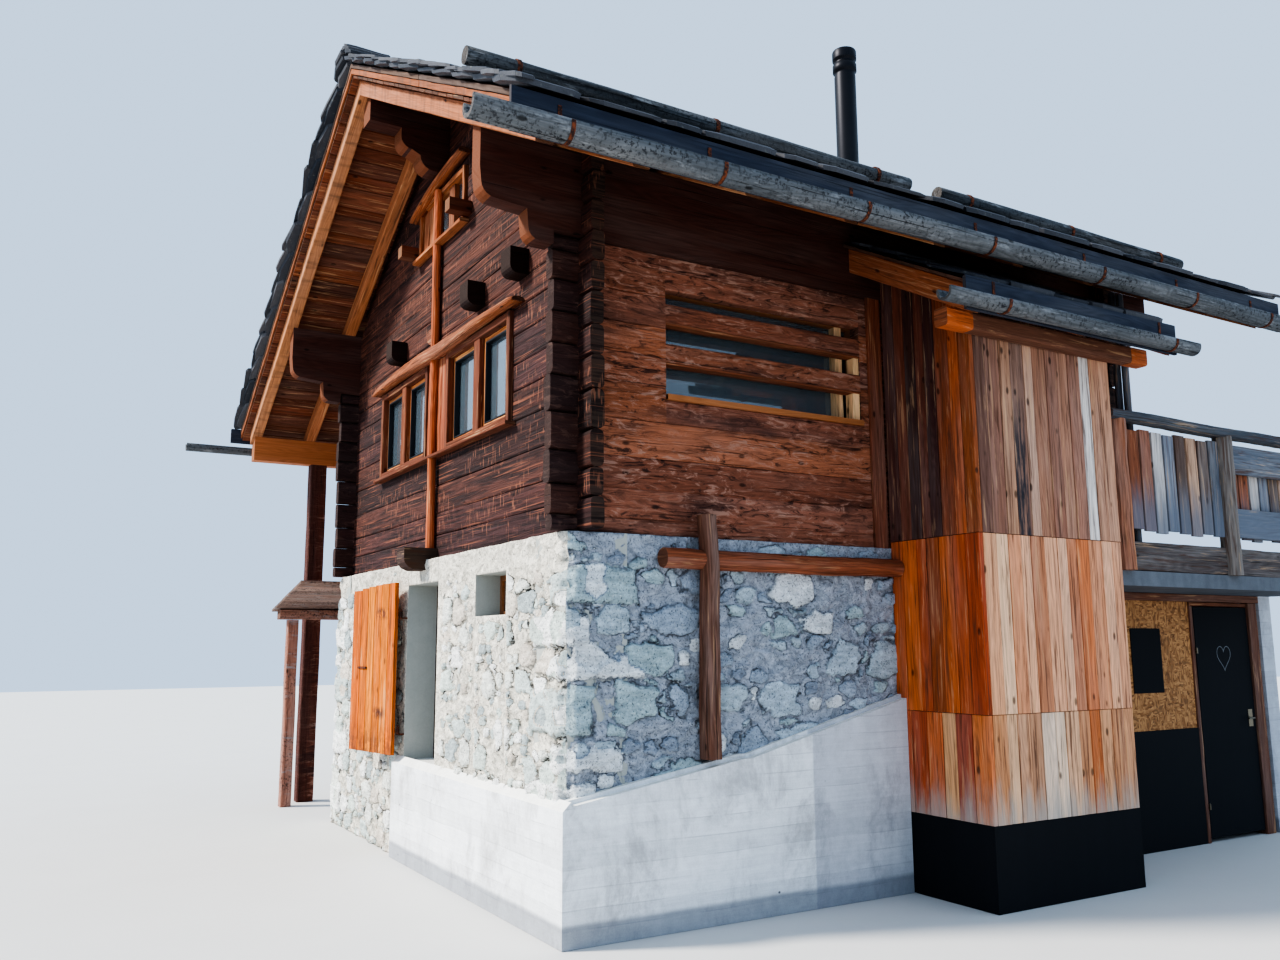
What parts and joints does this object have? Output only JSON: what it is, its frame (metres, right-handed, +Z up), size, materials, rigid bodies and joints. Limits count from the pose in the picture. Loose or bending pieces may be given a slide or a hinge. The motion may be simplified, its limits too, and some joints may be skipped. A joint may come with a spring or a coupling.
{
  "type": "alpine chalet",
  "caption": "Small alpine chalet: rubble stone ground storey, log storey with lapped corners, slate roof with wide eaves, boarded annex, railed terrace over a store room.",
  "frame": {"origin": "outer corner of the stone walls between the gable with the door and the annex side, at the lowest ground", "axes": "-X along the gable with the door, +Y from that gable to the rear, +Z up; the gable faces -Y and the annex side faces +X"},
  "size_m": [8.796, 9.14, 7.4],
  "materials": {
    "concrete": "cast with board marks",
    "rubble": "rubble with wide pale joints",
    "log_dark": "dark weathered, hewn",
    "log_red": "reddish brown, adzed",
    "timber_fresh": "fresh oiled",
    "timber_dark": "dark stained",
    "timber_grey": "weathered grey",
    "boards": "rough sawn",
    "slate": "split, overlapping",
    "gutter_log": "silver grey, barked",
    "iron": "rusted",
    "flue_metal": "matt black",
    "glass": "clear",
    "door_brown": "varnished",
    "door_black": "painted, satin",
    "store_board": "pressed strand board"
  },
  "bodies": {
    "house": {"plinth_front": "concrete", "plinth_side": "concrete", "stone_front_left": "rubble", "stone_front_right": "rubble", "stone_front_lintel": "rubble", "stone_sides": "rubble", "stone_rear": "rubble", "ground_floor": "concrete", "upper_floor": "boards", "logs_front_lower": "log_dark", "logs_front_middle": "log_dark", "logs_front_gable": "log_dark", "logs_side": "log_red", "logs_left": "log_red", "logs_rear": "log_dark", "ridge_purlin": "log_dark", "ridge_consoles": "log_dark", "wall_plates": "log_dark", "outer_purlin": "timber_fresh", "outer_posts": "log_red", "terrace_props": "timber_grey", "cover_board": "timber_fresh", "rafters": "timber_fresh", "roof_deck": "timber_fresh", "slates": "slate", "ridge_slates": "slate", "verge_boards": "timber_dark", "fascia": "timber_dark", "gutters": "gutter_log", "gutter_hooks": "iron", "snow_logs": "gutter_log", "flue": "flue_metal", "gable_windows": "timber_fresh", "window_glass": "glass", "gable_lintel": "timber_fresh", "attic_window": "timber_fresh", "centre_pole": "log_red", "beam_stubs": "timber_dark", "side_window": "timber_fresh", "cross_post": "log_red", "cross_beam": "log_red", "cellar_window": "timber_fresh", "door_pintles": "iron", "inner_door_frame": "door_brown", "annex_sides": "boards", "annex_front": "boards", "annex_roof": "slate", "annex_rafters": "timber_fresh", "annex_purlin": "timber_fresh", "terrace_slab": "concrete", "terrace_beam": "timber_grey", "railing": "timber_grey", "store_front": "store_board", "store_frame": "door_brown", "store_walls": "concrete", "lean_to_posts": "timber_grey", "lean_to_roof": "timber_grey"},
    "plank_leaf": {"plank_door": "timber_fresh"},
    "inner_leaf": {"inner_door": "door_brown"},
    "store_leaf": {"store_door": "door_black"}
  },
  "joints": [
    {"name": "plank_door_hinge", "type": "hinge", "parent": "house", "child": "plank_leaf", "pos_m": [-3.11, -0.062, 0.862], "axis": [0, 0, 1], "range_deg": [-6, 170]},
    {"name": "inner_door_hinge", "type": "hinge", "parent": "house", "child": "inner_leaf", "pos_m": [-2.393, 0.34, 0.82], "axis": [0, 0, 1], "range_deg": [-90, 0]},
    {"name": "store_door_hinge", "type": "hinge", "parent": "house", "child": "store_leaf", "pos_m": [0.11, 6.493, 0.3], "axis": [0, 0, 1], "range_deg": [-90, 0]}
  ]
}
